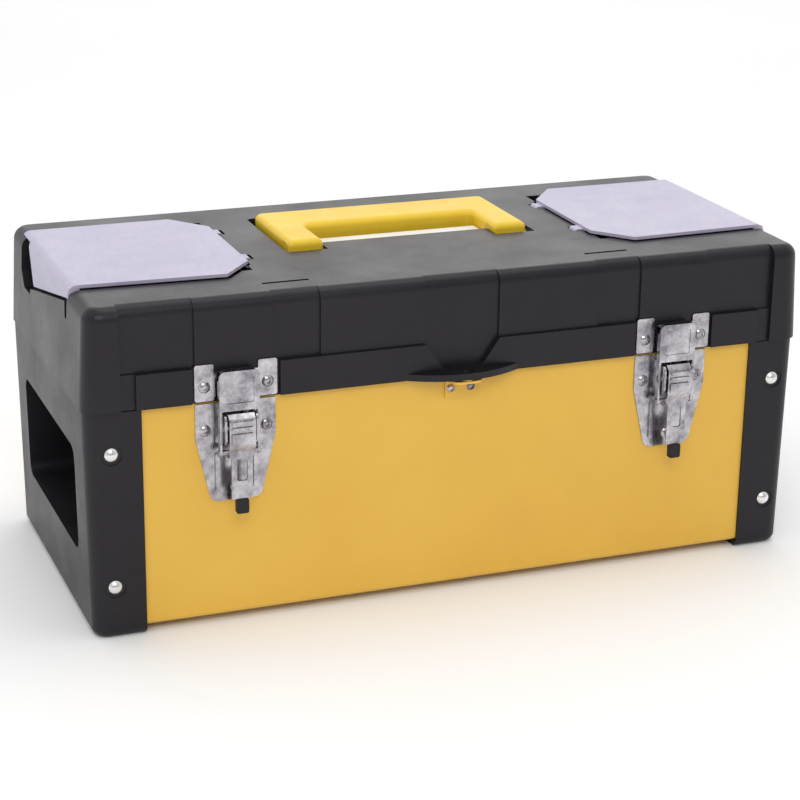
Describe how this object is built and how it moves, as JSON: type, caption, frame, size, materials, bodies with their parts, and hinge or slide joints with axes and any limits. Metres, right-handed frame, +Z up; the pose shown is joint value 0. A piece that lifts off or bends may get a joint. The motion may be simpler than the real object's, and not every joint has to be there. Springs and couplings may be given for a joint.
{
  "type": "toolbox",
  "caption": "Portable toolbox: bent steel body with moulded ends, hinged lid with flip-up organizer bins, folding handle, draw latches and a lift-out tray.",
  "frame": {"origin": "on the ground, under the middle of the closed box", "axes": "+Z up, +X along the length to the right as seen from the latches, -Y towards the latches"},
  "size_m": [0.41, 0.1993, 0.1832],
  "materials": {
    "yellow_paint": "satin enamel",
    "black_cap": "fine grained",
    "black_lid": "fine grained",
    "yellow_plastic": "semi-gloss",
    "milky_cover": "frosted",
    "pale_strip": "smooth",
    "tray_plastic": "fine grained",
    "nickel_steel": "nickel plated",
    "bright_rivet": "polished",
    "zinc_hinge": "zinc plated"
  },
  "bodies": {
    "box": {"body_panel": "yellow_paint", "padlock_eye": "yellow_paint", "padlock_eye_rivets": "nickel_steel", "end_cap_left": "black_cap", "cap_rivets_front_left": "bright_rivet", "cap_rivets_back_left": "bright_rivet", "latch_base_left": "nickel_steel", "latch_base_rivets_left": "nickel_steel", "latch_lever_pin_left": "nickel_steel", "hinge_body_leaf_left": "zinc_hinge", "hinge_body_rivets_left": "zinc_hinge", "hinge_pin_left": "zinc_hinge", "end_cap_right": "black_cap", "cap_rivets_front_right": "bright_rivet", "cap_rivets_back_right": "bright_rivet", "latch_base_right": "nickel_steel", "latch_base_rivets_right": "nickel_steel", "latch_lever_pin_right": "nickel_steel", "hinge_body_leaf_right": "zinc_hinge", "hinge_body_rivets_right": "zinc_hinge", "hinge_pin_right": "zinc_hinge"},
    "lid": {"lid_shell": "black_lid", "handle_well_strip": "pale_strip", "latch_keeper_left": "nickel_steel", "latch_keeper_rivets_left": "nickel_steel", "hinge_lid_leaf_left": "zinc_hinge", "hinge_lid_rivets_left": "zinc_hinge", "handle_pin_left": "zinc_hinge", "cover_pin_left": "zinc_hinge", "organizer_bin_left": "tray_plastic", "latch_keeper_right": "nickel_steel", "latch_keeper_rivets_right": "nickel_steel", "hinge_lid_leaf_right": "zinc_hinge", "hinge_lid_rivets_right": "zinc_hinge", "handle_pin_right": "zinc_hinge", "cover_pin_right": "zinc_hinge", "organizer_bin_right": "tray_plastic"},
    "handle": {"lid_handle": "yellow_plastic"},
    "tray": {"tray": "tray_plastic", "tray_grip": "tray_plastic", "tray_grip_rivets": "nickel_steel"},
    "cover_left": {"organizer_cover_left": "milky_cover"},
    "lever_left": {"latch_lever_left": "nickel_steel", "latch_link_pin_left": "nickel_steel", "latch_grip_left": "black_cap"},
    "link_left": {"latch_link_left": "nickel_steel"},
    "cover_right": {"organizer_cover_right": "milky_cover"},
    "lever_right": {"latch_lever_right": "nickel_steel", "latch_link_pin_right": "nickel_steel", "latch_grip_right": "black_cap"},
    "link_right": {"latch_link_right": "nickel_steel"}
  },
  "joints": [
    {"name": "lid_hinge", "type": "hinge", "parent": "box", "child": "lid", "pos_m": [0, 0.0935, 0.1245], "axis": [-1, 0, 0], "range_deg": [0, 100]},
    {"name": "handle_fold", "type": "hinge", "parent": "lid", "child": "handle", "pos_m": [0, -0.0045, 0.1746], "axis": [1, 0, 0], "range_deg": [0, 90]},
    {"name": "tray_lift", "type": "slide", "parent": "box", "child": "tray", "axis": [0, 0, 1], "range_m": [0, 0.026]},
    {"name": "cover_left_hinge", "type": "hinge", "parent": "lid", "child": "cover_left", "pos_m": [-0.0975, 0, 0.1773], "axis": [0, 1, 0], "range_deg": [0, 105]},
    {"name": "lever_left_hinge", "type": "hinge", "parent": "box", "child": "lever_left", "pos_m": [-0.125, -0.0981, 0.112], "axis": [-1, 0, 0], "range_deg": [0, 135]},
    {"name": "link_left_hinge", "type": "hinge", "parent": "lever_left", "child": "link_left", "pos_m": [-0.125, -0.0956, 0.098], "axis": [-1, 0, 0], "range_deg": [-135, 0]},
    {"name": "cover_right_hinge", "type": "hinge", "parent": "lid", "child": "cover_right", "pos_m": [0.0975, 0, 0.1773], "axis": [0, -1, 0], "range_deg": [0, 105]},
    {"name": "lever_right_hinge", "type": "hinge", "parent": "box", "child": "lever_right", "pos_m": [0.125, -0.0981, 0.112], "axis": [-1, 0, 0], "range_deg": [0, 135]},
    {"name": "link_right_hinge", "type": "hinge", "parent": "lever_right", "child": "link_right", "pos_m": [0.125, -0.0956, 0.098], "axis": [-1, 0, 0], "range_deg": [-135, 0]}
  ],
  "couplings": [
    {"joint": "link_left_hinge", "follows": "lever_left_hinge", "ratio": -1},
    {"joint": "link_right_hinge", "follows": "lever_right_hinge", "ratio": -1}
  ]
}
